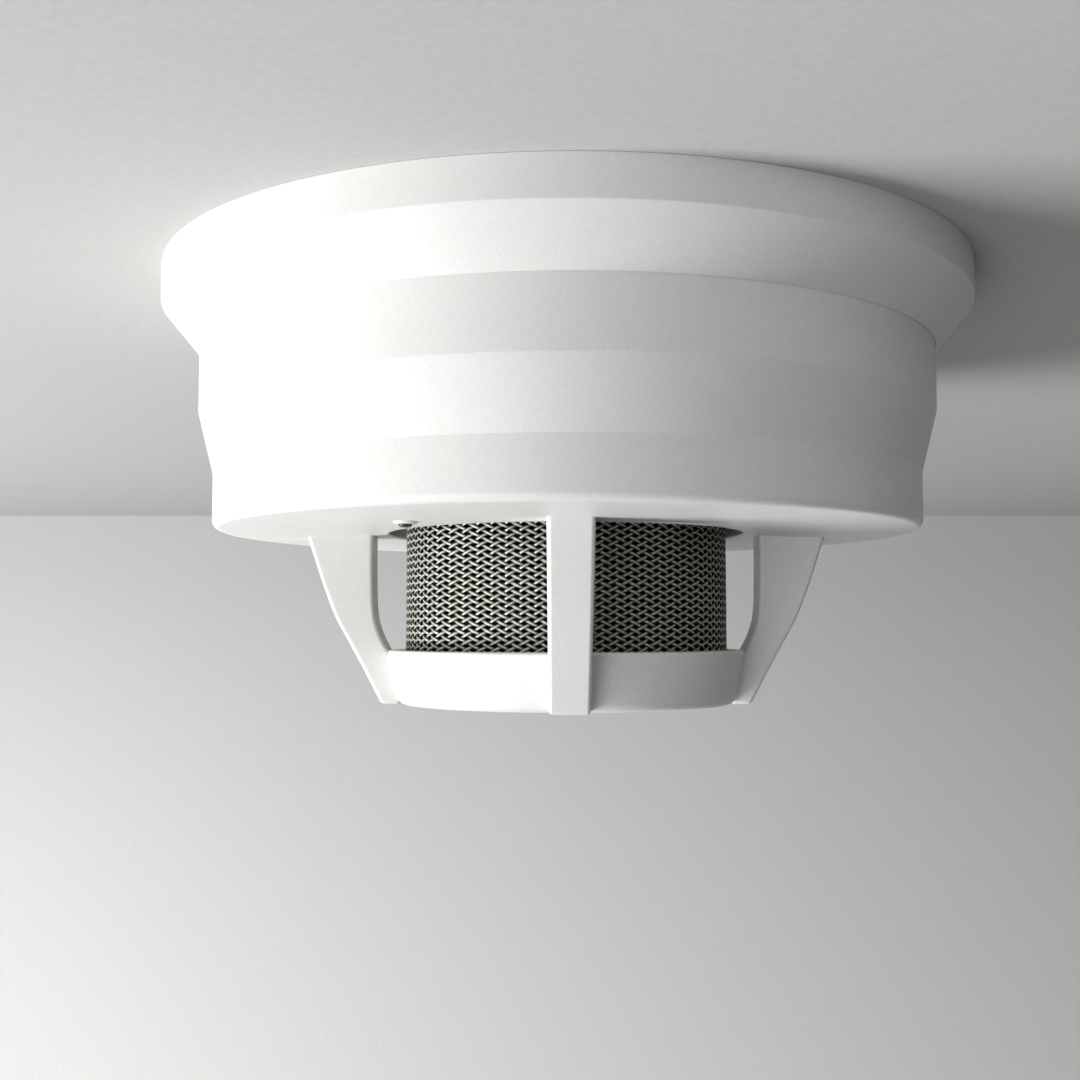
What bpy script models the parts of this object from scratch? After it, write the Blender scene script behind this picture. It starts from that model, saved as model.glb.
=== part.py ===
"""Ceiling smoke detector: twist-lock base, detector head and clip-on cover.

Frame: the origin is the centre of the base's flat back, where it meets the
ceiling (z = 0).  +Z points into the ceiling, so the detector hangs down -Z.
The four legs of the cover stand on -Y, +X, +Y and -X.

All lengths are millimetres; MM turns them into metres.  All angles are degrees.
A repeated piece is modelled on the +X axis, then turned to its bearings.
A span is a (low, high) pair along x (the radius) or z.
"""
import math

import bmesh
import bpy
from mathutils import Matrix

MM = 0.001

# --------------------------------------------------------- shared dimensions
SEG_BIG = 64            # facets round the large mouldings
SEG_MID = 48            # facets round the chamber pieces
SEG_SMALL = 20          # facets round large screws, cans and the light pipe
SEG_FINE = 16           # facets round small screws, their holes, diodes and the lamp
SEG_BOARD_HOLE = 12     # facets round the holes for the board screws
SEG_WIRE = 8            # facets round component leads

QUARTER_DEGS = (0.0, 90.0, 180.0, 270.0)   # ribs and their notches
TERMINAL_DEGS = (45.0, 135.0, 225.0, 315.0)
TERMINAL_SCREW_R = 26.5
TERMINAL_HOLE_R = 1.75
BLADE_PIN_R = 39.7      # middle of the contact blades' pins
PIN_SLOT_WIDTH = 2.7    # across the slots that the blades pass through

PCB_TOP_Z = -15.5
PCB_LOW_Z = -17.1
PCB_SCREW_R = 30.0
PCB_SCREW_DEGS = (90.0, 210.0, 330.0)
LEAD_TOP_Z = -17.4      # top of the leads and of the parts set just below the board
COMPONENT_TOP_Z = PCB_LOW_Z - 0.3

SPIGOT_TOP_Z = -6.0     # top of the cover's spigot and of the chassis rim

KEY_DEG = 6.0           # width of each stop key on the base
KEY_DEGS = (0.0, 180.0)

INDICATOR_R = 31.73     # alarm indicator: radius and bearing on the underside
INDICATOR_DEG = 236.25


# ------------------------------------------------------------------- helpers
def material(name, colour, rough, metal=0.0, alpha=1.0):
    mat = bpy.data.materials.new(name)
    mat.use_nodes = True
    bsdf = mat.node_tree.nodes["Principled BSDF"]
    bsdf.inputs["Base Color"].default_value = (*colour, 1.0)
    bsdf.inputs["Roughness"].default_value = rough
    bsdf.inputs["Metallic"].default_value = metal
    bsdf.inputs["Alpha"].default_value = alpha
    return mat


def put(ob, mat=None, cutter=False):
    """File an object under the parts or the cutters, and give it its finish."""
    for col in list(ob.users_collection):
        col.objects.unlink(ob)
    (CUTTERS if cutter else PARTS).objects.link(ob)
    if cutter:
        ob.hide_render = True
        ob.display_type = "WIRE"
    elif mat is not None:
        ob.data.materials.append(mat)
    return ob


def shift(x=0.0, y=0.0, z=0.0):
    """A move, as a matrix."""
    return Matrix.Translation((x * MM, y * MM, z * MM))


def rotation(deg, axis="Z"):
    return Matrix.Rotation(math.radians(deg), 4, axis)


def set_bearing(ob, deg):
    ob.rotation_euler = (0.0, 0.0, math.radians(deg))


def polar(radius, deg):
    return (radius * math.cos(math.radians(deg)), radius * math.sin(math.radians(deg)))


def arc(centre_x, centre_y, radius, start, end, steps):
    """Points of an arc, both ends included, in the plane of a profile or outline."""
    points = []
    for k in range(steps + 1):
        x, y = polar(radius, start + (end - start) * k / steps)
        points.append((centre_x + x, centre_y + y))
    return points


def around(middle, width):
    """The span of a given width about its middle."""
    return (middle - width / 2, middle + width / 2)


def turned(name, profile, seg, mat=None, cutter=False, closed=True):
    """A shape turned about Z from (radius, z) points; an open profile ends on the axis."""
    mesh = bpy.data.meshes.new(name)
    ob = bpy.data.objects.new(name, mesh)
    bm = bmesh.new()
    verts = [bm.verts.new((radius * MM, 0.0, z * MM)) for radius, z in profile]
    count = len(verts)
    for i in range(count if closed else count - 1):
        bm.edges.new((verts[i], verts[(i + 1) % count]))
    bm.to_mesh(mesh)
    bm.free()
    mod = ob.modifiers.new("turn", "SCREW")
    mod.axis = "Z"
    mod.steps = seg
    mod.render_steps = seg
    mod.use_merge_vertices = True
    mod.merge_threshold = 0.000001
    mod.use_smooth_shade = True
    return put(ob, mat, cutter)


def turned_at(name, profile, seg, mat, place):
    """A solid turned from an open profile, made plain mesh and moved into place."""
    ob = settle(turned(name, profile, seg, mat, closed=False))
    ob.data.transform(place)
    return ob


def box(name, x_span, width, z_span, mat=None, cutter=False, bearing=0.0):
    """A block centred across the +X axis, turned to a bearing."""
    size = ((x_span[1] - x_span[0]) * MM, width * MM, (z_span[1] - z_span[0]) * MM)
    bpy.ops.mesh.primitive_cube_add(size=1.0)
    ob = bpy.context.object
    ob.name = ob.data.name = name
    middle = shift(x=sum(x_span) * 0.5, z=sum(z_span) * 0.5)
    ob.data.transform(middle @ Matrix.Diagonal((*size, 1.0)))
    set_bearing(ob, bearing)
    return put(ob, mat, cutter)


def rod_cutter(name, radius, z_span, at, seg):
    """An upright cylinder, used as a boolean tool."""
    bpy.ops.mesh.primitive_cylinder_add(
        vertices=seg, radius=radius * MM, depth=(z_span[1] - z_span[0]) * MM,
        location=(0.0, 0.0, 0.0))
    ob = bpy.context.object
    ob.name = ob.data.name = name
    ob.data.transform(shift(*at, sum(z_span) * 0.5))
    ob.data.shade_smooth()
    ob.data.set_sharp_from_angle(angle=math.radians(35))
    return put(ob, cutter=True)


def outline(name, points, thickness, place=None, mat=None, cutter=False):
    """A flat outline given thickness about its plane: a filled 2D curve made into mesh."""
    curve = bpy.data.curves.new(name, "CURVE")
    curve.dimensions = "2D"
    curve.fill_mode = "BOTH"
    curve.extrude = thickness / 2 * MM
    line = curve.splines.new("POLY")
    line.points.add(len(points) - 1)
    for point, (x, y) in zip(line.points, points):
        point.co = (x * MM, y * MM, 0.0, 1.0)
    line.use_cyclic_u = True
    source = bpy.data.objects.new(name + "_curve", curve)
    PARTS.objects.link(source)
    if place is not None:
        source.matrix_world = place
    mesh = evaluated_mesh(source)
    bm = bmesh.new()
    bm.from_mesh(mesh)
    bmesh.ops.remove_doubles(bm, verts=bm.verts, dist=0.000001)
    bmesh.ops.recalc_face_normals(bm, faces=bm.faces)
    bm.to_mesh(mesh)
    bm.free()
    ob = bpy.data.objects.new(name, mesh)
    ob.matrix_world = source.matrix_world
    bpy.data.objects.remove(source, do_unlink=True)
    return put(ob, mat, cutter)


def evaluated_mesh(ob):
    bpy.context.view_layer.update()
    deps = bpy.context.evaluated_depsgraph_get()
    return bpy.data.meshes.new_from_object(ob.evaluated_get(deps))


def settle(ob):
    """Turn an object's modifiers into plain mesh, so that copies can share it."""
    mesh = evaluated_mesh(ob)
    mesh.name = ob.name
    ob.modifiers.clear()
    ob.data = mesh
    return ob


def boolean(ob, tool, operation):
    mod = ob.modifiers.new(operation.lower() + "_" + tool.name, "BOOLEAN")
    mod.operation = operation
    mod.solver = "EXACT"
    mod.object = tool


def cut(ob, tool):
    boolean(ob, tool, "DIFFERENCE")


def join(ob, tool):
    boolean(ob, tool, "UNION")


def copy_round(first, stem, bearings):
    """Turn a piece to the first bearing; copies sharing its mesh take the others."""
    set_bearing(first, bearings[0])
    for number, deg in enumerate(bearings[1:], start=2):
        ob = bpy.data.objects.new(f"{stem}_{number}", first.data)
        set_bearing(ob, deg)
        PARTS.objects.link(ob)


def cut_cross(screw, radius, tools, length, width, z_span):
    """Cut a cross recess in a screw's head; tools names the two cutters."""
    for name, deg in zip(tools, (0.0, 90.0)):
        tool = box(name, around(0.0, length), width, z_span, cutter=True, bearing=deg)
        tool.location = (radius * MM, 0.0, 0.0)
        cut(screw, tool)
    settle(screw)


UPRIGHT = rotation(90.0, "X")           # outline's (x, y) -> (radius, z)
FACING_OUT = Matrix(((0, 0, 1, 0),      # outline's (x, y) -> (y, z), thickness along x
                     (1, 0, 0, 0),
                     (0, 1, 0, 0),
                     (0, 0, 0, 1)))

# --------------------------------------------------------------- scene set-up
for ob in list(bpy.data.objects):
    bpy.data.objects.remove(ob, do_unlink=True)

PARTS = bpy.data.collections.new("smoke_detector")
CUTTERS = bpy.data.collections.new("cutters")
bpy.context.scene.collection.children.link(PARTS)
bpy.context.scene.collection.children.link(CUTTERS)

# ------------------------------------------------------------------ materials
WHITE = material("white_abs", colour=(0.80, 0.79, 0.775), rough=0.42)
BASE_WHITE = material("base_abs", colour=(0.79, 0.78, 0.765), rough=0.46)
INNER = material("chassis_abs", colour=(0.74, 0.73, 0.70), rough=0.5)
BLACK = material("chamber_black", colour=(0.018, 0.018, 0.02), rough=0.6)
STEEL_MESH = material("screen_steel", colour=(0.55, 0.53, 0.48), rough=0.35, metal=0.9)
BRASS = material("contact_brass", colour=(0.80, 0.62, 0.28), rough=0.3, metal=1.0)
SPRING = material("spring_steel", colour=(0.70, 0.69, 0.66), rough=0.28, metal=1.0)
ZINC = material("zinc_steel", colour=(0.62, 0.63, 0.64), rough=0.32, metal=1.0)
BOARD = material("board_green", colour=(0.03, 0.18, 0.09), rough=0.45)
RUBBER = material("seal_rubber", colour=(0.05, 0.05, 0.052), rough=0.9)
ALUMINIUM = material("can_aluminium", colour=(0.75, 0.75, 0.76), rough=0.3, metal=1.0)
TIN = material("shield_tin", colour=(0.66, 0.66, 0.65), rough=0.35, metal=1.0)
RESIN = material("chip_resin", colour=(0.03, 0.03, 0.032), rough=0.55)
BLUE = material("varistor_blue", colour=(0.04, 0.12, 0.42), rough=0.45)
LENS = material("diode_lens", colour=(0.10, 0.06, 0.14), rough=0.15, alpha=0.8)
SMOKED = material("light_pipe_smoke", colour=(0.10, 0.085, 0.08), rough=0.12, alpha=0.75)
LED_RED = material("alarm_led_red", colour=(0.55, 0.04, 0.03), rough=0.25)

# ----------------------------------------------------------------- base plate
BASE_R = 50.0           # base flange radius
BASE_FLANGE_Z = -4.37   # bottom of the flange's straight edge
BASE_TIP_R = 45.62      # where the base's sloping skirt ends, just clear of the head
BASE_TIP_Z = -9.66
BASE_FLOOR = 2.5        # thickness of the base's floor
BASE_INNER_R = 47.8
KEY_MID_R = 45.0        # radius at which the keys' angular width is measured
FIXING_X = 24.5         # fixing slots and their pads, on +X and -X
FIXING_TRAVEL = 3.0     # from a slot's middle to the centre of each rounded end
SLOT_END_R = 2.2
PAD_END_R = 4.2
PAD_LOW_Z = -3.0
PAD_DEPTH = 1.5
ENTRY_X = 7.0           # centres of the cable entry's rounded corners
ENTRY_NEAR_Y = 10.5
ENTRY_FAR_Y = 13.0
ENTRY_CORNER_R = 4.0
THROUGH = 10.0          # thickness of cutters that pass right through the floor


def fixing_shape(middle_x, end_radius):
    """Outline of a slot or pad: two half circles joined by straight sides."""
    return (arc(middle_x + FIXING_TRAVEL, 0.0, end_radius, -90.0, 90.0, 8)
            + arc(middle_x - FIXING_TRAVEL, 0.0, end_radius, 90.0, 270.0, 8))


base = turned("base_plate", [
    (0.0, 0.0), (BASE_R, 0.0), (BASE_R, BASE_FLANGE_Z), (BASE_TIP_R, BASE_TIP_Z),
    (BASE_TIP_R, -8.2), (BASE_INNER_R, -5.0), (BASE_INNER_R, -BASE_FLOOR),
    (0.0, -BASE_FLOOR)], SEG_BIG, BASE_WHITE, closed=False)

# two keys stop the head's twist
key_width = 2 * KEY_MID_R * math.sin(math.radians(KEY_DEG / 2))
for side, deg in zip("ab", KEY_DEGS):
    join(base, box("base_key_" + side, (43.9, 46.6), key_width, (-8.9, -1.6),
                   cutter=True, bearing=deg))

# raised pads that the fixing screws' heads pull down on
for side, x in (("a", FIXING_X), ("b", -FIXING_X)):
    join(base, outline("screw_pad_" + side, fixing_shape(x, PAD_END_R), PAD_DEPTH,
                       shift(z=PAD_LOW_Z + PAD_DEPTH / 2), cutter=True))

# terminal posts, with blind screw holes
for i, deg in enumerate(TERMINAL_DEGS):
    join(base, box(f"post_{i}", (22.2, 31.0), 8.0, (-5.0, -1.5), cutter=True, bearing=deg))
for i, deg in enumerate(TERMINAL_DEGS):
    cut(base, rod_cutter(f"post_hole_{i}", TERMINAL_HOLE_R, (-7.0, -0.9),
                         polar(TERMINAL_SCREW_R, deg), SEG_FINE))

# cable entry and the two fixing slots
cut(base, outline(
    "cable_entry",
    arc(ENTRY_X, ENTRY_FAR_Y, ENTRY_CORNER_R, 0.0, 90.0, 3)
    + arc(-ENTRY_X, ENTRY_FAR_Y, ENTRY_CORNER_R, 90.0, 180.0, 3)
    + arc(-ENTRY_X, ENTRY_NEAR_Y, ENTRY_CORNER_R, 180.0, 270.0, 3)
    + arc(ENTRY_X, ENTRY_NEAR_Y, ENTRY_CORNER_R, 270.0, 360.0, 3),
    THROUGH, cutter=True))
for side, x in (("a", FIXING_X), ("b", -FIXING_X)):
    cut(base, outline("fixing_slot_" + side, fixing_shape(x, SLOT_END_R), THROUGH,
                      cutter=True))

# ------------------------------------------- terminals: clip, clamp and screw
CLIP_SPRING_X = 34.75   # middle of the clip's spring along the radius
CLIP_SPRING_WIDTH = 5.5

# (y, z) points of the spring, a U on its side that opens towards -Y
CLIP_SPRING = [
    (-2.45, -5.35), (-2.45, -5.85), (3.0, -5.85), (3.0, -7.7),
    (-2.45, -7.7), (-2.45, -8.25), (3.55, -8.25), (3.55, -5.35)]

# (radius, z) from the tip down to the head
TERMINAL_SCREW = [
    (0.0, -1.2), (1.1, -1.2), (1.4, -1.6), (1.4, -7.3),
    (3.2, -7.3), (3.2, -8.5), (2.5, -9.2), (0.0, -9.4)]

clip = box("contact_clip_1", (22.5, 33.0), 5.0, (-5.9, -5.3), SPRING)
join(clip, outline("clip_spring", CLIP_SPRING, CLIP_SPRING_WIDTH,
                   shift(x=CLIP_SPRING_X) @ FACING_OUT, cutter=True))
cut(clip, rod_cutter("clip_hole", TERMINAL_HOLE_R, (-6.3, -5.0),
                     (TERMINAL_SCREW_R, 0.0), SEG_FINE))
settle(clip)
copy_round(clip, "contact_clip", TERMINAL_DEGS)

clamp = box("terminal_clamp_1", around(TERMINAL_SCREW_R, 6.8), 6.8, (-7.0, -6.2), ZINC)
cut(clamp, rod_cutter("clamp_hole", TERMINAL_HOLE_R, (-7.3, -5.9),
                      (TERMINAL_SCREW_R, 0.0), SEG_FINE))
settle(clamp)
copy_round(clamp, "terminal_clamp", TERMINAL_DEGS)

terminal_screw = turned_at("terminal_screw_1", TERMINAL_SCREW, SEG_SMALL, ZINC,
                           shift(x=TERMINAL_SCREW_R))
cut_cross(terminal_screw, TERMINAL_SCREW_R, ("recess_x", "recess_y"),
          length=3.4, width=0.7, z_span=(-10.0, -8.3))
copy_round(terminal_screw, "terminal_screw", TERMINAL_DEGS)

# ------------------------------------------------------------------ seal ring
turned("seal_ring", [(41.0, -2.8), (43.4, -2.8), (43.4, -5.7), (41.0, -5.7)],
       SEG_BIG, RUBBER)

# ------------------------------------------------------------ chassis of head
CHASSIS_R = 43.2
CHASSIS_RIM_R = 41.3    # inside of the chassis rim
CHASSIS_TOP_Z = -10.5
CHASSIS_LOW_Z = -12.5

chassis = turned("chassis", [
    (0.0, -9.6), (12.0, -9.6), (12.6, CHASSIS_TOP_Z), (CHASSIS_RIM_R, CHASSIS_TOP_Z),
    (CHASSIS_RIM_R, SPIGOT_TOP_Z), (CHASSIS_R, SPIGOT_TOP_Z),
    (CHASSIS_R, CHASSIS_LOW_Z), (0.0, CHASSIS_LOW_Z)],
    SEG_BIG, INNER, closed=False)
for i, deg in enumerate(QUARTER_DEGS):
    cut(chassis, box(f"rib_notch_{i}", (41.85, 44.0), 3.8, (-13.0, -9.3),
                     cutter=True, bearing=deg))
for i, deg in enumerate(TERMINAL_DEGS):
    cut(chassis, box(f"stem_slot_{i}", around(BLADE_PIN_R, 1.5), PIN_SLOT_WIDTH,
                     (-13.5, -9.5), cutter=True, bearing=deg))
for i, deg in enumerate(PCB_SCREW_DEGS):
    join(chassis, rod_cutter(f"standoff_{i}", 3.0, (-15.2, -11.6),
                             polar(PCB_SCREW_R, deg), SEG_FINE))
for i, deg in enumerate(PCB_SCREW_DEGS):
    cut(chassis, rod_cutter(f"standoff_hole_{i}", 1.35, (-16.0, -11.1),
                            polar(PCB_SCREW_R, deg), SEG_BOARD_HOLE))

# ------------------------------------------------------------- contact blades
# (radius, z) points: a flat arm with its outer end turned down
CONTACT_BLADE = [
    (31.5, -6.5), (31.5, -7.3), (39.3, -7.3), (39.3, -10.2), (40.1, -10.2), (40.1, -6.5)]
BLADE_WIDTH = 5.0

blade = outline("contact_blade_1", CONTACT_BLADE, BLADE_WIDTH, UPRIGHT, BRASS)
join(blade, box("blade_pin", around(BLADE_PIN_R, 0.6), 2.0, (-17.9, -9.6), cutter=True))
settle(blade)
# stand the mesh itself upright, so that the object is free to take a bearing
blade.data.transform(blade.matrix_world)
blade.matrix_world = Matrix.Identity(4)
copy_round(blade, "contact_blade", TERMINAL_DEGS)

# -------------------------------------------------- circuit board and screws
PCB_R = 41.3
PCB_CUT_Z = (-18.0, -14.5)   # cutters pass through the board

# (radius, z) from the tip down to the head
BOARD_SCREW = [
    (0.0, -11.5), (0.7, -11.5), (1.0, -12.0), (1.0, -17.4),
    (2.6, -17.4), (2.6, -18.4), (1.9, -19.1), (0.0, -19.3)]

pcb = turned("circuit_board", [(0.0, PCB_TOP_Z), (PCB_R, PCB_TOP_Z), (PCB_R, PCB_LOW_Z),
                               (0.0, PCB_LOW_Z)], SEG_BIG, BOARD, closed=False)
for i, deg in enumerate(TERMINAL_DEGS):
    cut(pcb, box(f"pin_slot_{i}", around(BLADE_PIN_R, 1.4), PIN_SLOT_WIDTH, PCB_CUT_Z,
                 cutter=True, bearing=deg))
for i, deg in enumerate(PCB_SCREW_DEGS):
    cut(pcb, rod_cutter(f"board_hole_{i}", 1.5, PCB_CUT_Z, polar(PCB_SCREW_R, deg),
                        SEG_BOARD_HOLE))

board_screw = turned_at("board_screw_1", BOARD_SCREW, SEG_FINE, ZINC, shift(x=PCB_SCREW_R))
cut_cross(board_screw, PCB_SCREW_R, ("board_recess_u", "board_recess_v"),
          length=2.7, width=0.6, z_span=(-20.0, -18.3))
copy_round(board_screw, "board_screw", PCB_SCREW_DEGS)

# ----------------------------------------------------- components on the board
# name, radius, bearing, radial size, width, height, finish
CHIPS = (
    ("microcontroller", 30.5, 20.0, 7.0, 7.0, 1.1, RESIN),
    ("shield_can", 30.5, 57.0, 11.0, 9.0, 3.2, TIN),
    ("bridge_rectifier", 31.0, 118.0, 5.0, 6.5, 2.3, RESIN),
    ("choke", 31.0, 305.0, 6.5, 6.5, 3.0, RESIN),
)
CHIP_BEVEL = 0.25

# name, bearing, can radius, height
CAPACITORS = (
    ("capacitor_1", 160.0, 4.0, 9.0),
    ("capacitor_2", 186.0, 3.15, 6.5),
)
CAPACITOR_RING_R = 31.5   # distance of the capacitors from the axis
CAN_GROOVE = 0.3          # depth of the groove round a can

VARISTOR_R = 31.0         # distance from the axis
VARISTOR_DEG = 275.0
VARISTOR_DROP = 4.4       # its centre below the board
VARISTOR_PROFILE = [      # (radius, position along the disc's own axis)
    (0.0, 1.9), (2.6, 1.9), (3.6, 1.1), (3.6, -1.1), (2.6, -1.9), (0.0, -1.9)]

for name, radius, deg, length, width, height, mat in CHIPS:
    chip = box(name, around(radius, length), width,
               (COMPONENT_TOP_Z - height, COMPONENT_TOP_Z), mat, bearing=deg)
    bevel = chip.modifiers.new("edge", "BEVEL")
    bevel.width = CHIP_BEVEL * MM
    bevel.segments = 1

for name, deg, radius, height in CAPACITORS:
    top = COMPONENT_TOP_Z
    low = top - height
    turned_at(name, [
        (0.0, top), (radius, top), (radius, top - 1.2), (radius - CAN_GROOVE, top - 1.5),
        (radius - CAN_GROOVE, top - 1.8), (radius, top - 2.1), (radius, low + 0.4),
        (radius - 0.5, low), (0.0, low)],
        SEG_SMALL, ALUMINIUM, shift(*polar(CAPACITOR_RING_R, deg)))

# varistor: a disc standing on edge
varistor = turned_at("varistor", VARISTOR_PROFILE, SEG_SMALL, BLUE,
                     rotation(VARISTOR_DEG)
                     @ shift(x=VARISTOR_R, z=PCB_LOW_Z - VARISTOR_DROP) @ UPRIGHT)
for i, offset in enumerate((-1.6, 1.6)):
    lead = rod_cutter(f"varistor_lead_{i}", 0.35, (-21.0, LEAD_TOP_Z),
                      (VARISTOR_R + offset, 0.0), SEG_WIRE)
    set_bearing(lead, VARISTOR_DEG)
    join(varistor, lead)

# ------------------------------------------------ alarm lamp and its light pipe
INDICATOR_TIP_Z = -32.38
indicator_x, indicator_y = polar(INDICATOR_R, INDICATOR_DEG)

turned_at("alarm_led", [
    (0.0, LEAD_TOP_Z), (1.7, LEAD_TOP_Z), (1.7, -18.0), (1.45, -18.1), (1.45, -18.9),
    (1.0, -19.4), (0.0, -19.6)], SEG_FINE, LED_RED, shift(indicator_x, indicator_y))
turned_at("light_pipe", [
    (0.0, -19.9), (1.6, -19.9), (1.6, -27.6), (0.74, -28.3), (0.74, -31.98),
    (0.6, -32.2), (0.32, -32.34), (0.0, INDICATOR_TIP_Z)],
    SEG_SMALL, SMOKED, shift(indicator_x, indicator_y))

# -------------------------------------------------------------- smoke chamber
CHAMBER_R = 19.2
CHAMBER_INNER_R = 17.6
CHAMBER_OPENING_R = 9.0  # round opening in the chamber base
CHAMBER_FLOOR_TOP_Z = -29.4
CHAMBER_FLOOR_LOW_Z = -30.9
LID_TOP_Z = -46.0
LID_LOW_Z = -48.4
LID_CHAMFER = 0.6
VANES = 20
VANE_MID_Z = -38.9
VANE_HEIGHT = 15.2
# (x, y) plan of one vane, a plate bent at its middle
VANE = [
    (12.3, -2.5), (15.7, 1.3), (18.5, -1.9), (19.0, -2.9), (19.05, 0.3), (15.7, 2.7),
    (12.3, -1.1)]
SCREEN_R = 20.16        # insect screen, outside radius
SCREEN_WALL = 0.5
SCREEN_TOP_Z = -27.0
SCREEN_LOW_Z = -47.2

turned("chamber_base", [
    (CHAMBER_INNER_R, -17.4), (CHAMBER_R, -17.4), (CHAMBER_R, CHAMBER_FLOOR_LOW_Z),
    (CHAMBER_OPENING_R, CHAMBER_FLOOR_LOW_Z), (CHAMBER_OPENING_R, CHAMBER_FLOOR_TOP_Z),
    (CHAMBER_INNER_R, CHAMBER_FLOOR_TOP_Z)], SEG_MID, BLACK)

# the vanes overlap so that no light crosses the chamber from side to side
labyrinth = turned("chamber_labyrinth", [
    (0.0, LID_TOP_Z), (CHAMBER_R - LID_CHAMFER, LID_TOP_Z),
    (CHAMBER_R, LID_TOP_Z - LID_CHAMFER), (CHAMBER_R, LID_LOW_Z), (0.0, LID_LOW_Z)],
    SEG_MID, BLACK, closed=False)
for i in range(VANES):
    join(labyrinth, outline(f"vane_{i}", VANE, VANE_HEIGHT,
                            rotation(360.0 * i / VANES) @ shift(z=VANE_MID_Z), cutter=True))

turned("insect_screen", [
    (SCREEN_R - SCREEN_WALL, SCREEN_TOP_Z), (SCREEN_R, SCREEN_TOP_Z),
    (SCREEN_R, SCREEN_LOW_Z), (SCREEN_R - SCREEN_WALL, SCREEN_LOW_Z)], SEG_BIG, STEEL_MESH)
turned("screen_ring", [(20.5, -24.2), (21.9, -24.2), (21.9, -27.6), (20.5, -27.6)],
       SEG_MID, BLACK)

# --------------------------------------------------------- diodes of the chamber
DIODE_R = 12.4
DIODE_Z = -22.9
DIODE_TILT = 40.0
DIODE_LEAD_R = 13.9     # distance of the leads from the detector's axis
# (radius, position along the diode's own axis) from the flange to the lens tip
DIODE_PROFILE = [
    (0.0, 3.2), (2.85, 3.2), (2.85, 2.2), (2.45, 2.2), (2.45, -1.6), (1.9, -3.0),
    (1.0, -3.9), (0.0, -4.1)]


def diode(name, deg, mat):
    """A lens-ended diode that looks down and in, with two upright leads."""
    ob = turned_at(name, DIODE_PROFILE, SEG_FINE, mat,
                   rotation(deg) @ shift(x=DIODE_R, z=DIODE_Z) @ rotation(DIODE_TILT, "Y"))
    for i, offset in enumerate((-1.0, 1.0)):
        lead = rod_cutter(f"{name}_lead_{i}", 0.3, (-21.5, LEAD_TOP_Z),
                          (DIODE_LEAD_R, offset), SEG_WIRE)
        set_bearing(lead, deg)
        join(ob, lead)


diode("infrared_led", 60.0, LENS)
diode("photodiode", 200.0, RESIN)

# ---------------------------------------------------------------- head cover
HEAD_R = 45.48          # head's upper cylinder
HEAD_TOP_Z = -9.83
HEAD_STEP_Z = -17.33
HEAD_LOW_R = 43.69      # bottom of the taper below the upper cylinder
HEAD_LOW_Z = -24.71
HEAD_EDGE_R = 0.95      # rounding where the side turns into the underside
HEAD_EDGE_Z = -30.28
HEAD_BOTTOM_Z = -31.75  # lowest line of the slightly crowned underside
HEAD_BOTTOM_R = 32.5
CROWN_OUT = 0.0048      # how fast the crown rises outward and inward, per mm squared
CROWN_IN = 0.0036
CROWN_STATIONS = (39.5, 36.5, 34.0, 31.0, 28.0, 25.2)   # radii of points on the crown
COVER_WALL_R = 43.5     # inside of the head's upper cylinder
SPIGOT_R = 45.2
MOUTH_R = 22.3          # round opening that the chamber stands in
MOUTH_LIP = 0.5
# (radius, z) of the cover's inside, from the mouth out to the lower wall
COVER_INSIDE = [
    (23.8, -28.4), (24.6, -29.9), (33.5, -29.9), (40.9, -29.4), (41.8, -28.5), (41.8, -24.4)]


def crown(radius):
    """Height of the underside at a radius."""
    rise = CROWN_OUT if radius > HEAD_BOTTOM_R else CROWN_IN
    return HEAD_BOTTOM_Z + rise * (radius - HEAD_BOTTOM_R) ** 2


cover = turned("head_cover", [
    (SPIGOT_R, SPIGOT_TOP_Z), (SPIGOT_R, HEAD_TOP_Z + 0.25), (HEAD_R, HEAD_TOP_Z),
    (HEAD_R, HEAD_STEP_Z), (HEAD_LOW_R, HEAD_LOW_Z)]
    + arc(HEAD_LOW_R - HEAD_EDGE_R, HEAD_EDGE_Z, HEAD_EDGE_R, 0.0, -85.5, 5)
    + [(radius, crown(radius)) for radius in CROWN_STATIONS]
    + arc(MOUTH_R + MOUTH_LIP, crown(MOUTH_R) + MOUTH_LIP, MOUTH_LIP, 270.0, 180.0, 5)
    + [(MOUTH_R, -28.4)] + COVER_INSIDE
    + [(COVER_WALL_R, -17.2), (COVER_WALL_R, SPIGOT_TOP_Z)],
    SEG_BIG, WHITE)

# ------------------------------------------------------------- legs of the cover
LEG_DEGS = (270.0, 0.0, 90.0, 180.0)
LEG_TOP_T = 5.08        # leg thickness at the head and at the cap
LEG_LOW_T = 4.62
LEG_ROOT_Z = -30.6      # top of the legs, inside the head's underside
LEG_BOTTOM_Z = -52.6
# (radius, z) down the outer edge, round the foot, and down the inner edge
LEG_OUTER = [
    (32.45, -31.65), (31.75, -33.8), (30.76, -36.8), (29.75, -39.6),
    (28.7, -42.1), (27.15, -44.9), (25.2, -48.45)]
LEG_FOOT = [(23.05, LEG_BOTTOM_Z), (20.4, LEG_BOTTOM_Z), (20.4, -51.2), (21.4, -47.0)]
LEG_INNER = [
    (24.2, -31.7), (24.18, -35.5), (24.1, -39.2), (23.98, -41.0),
    (23.76, -42.35), (23.1, -44.2), (22.04, -46.2)]

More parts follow.
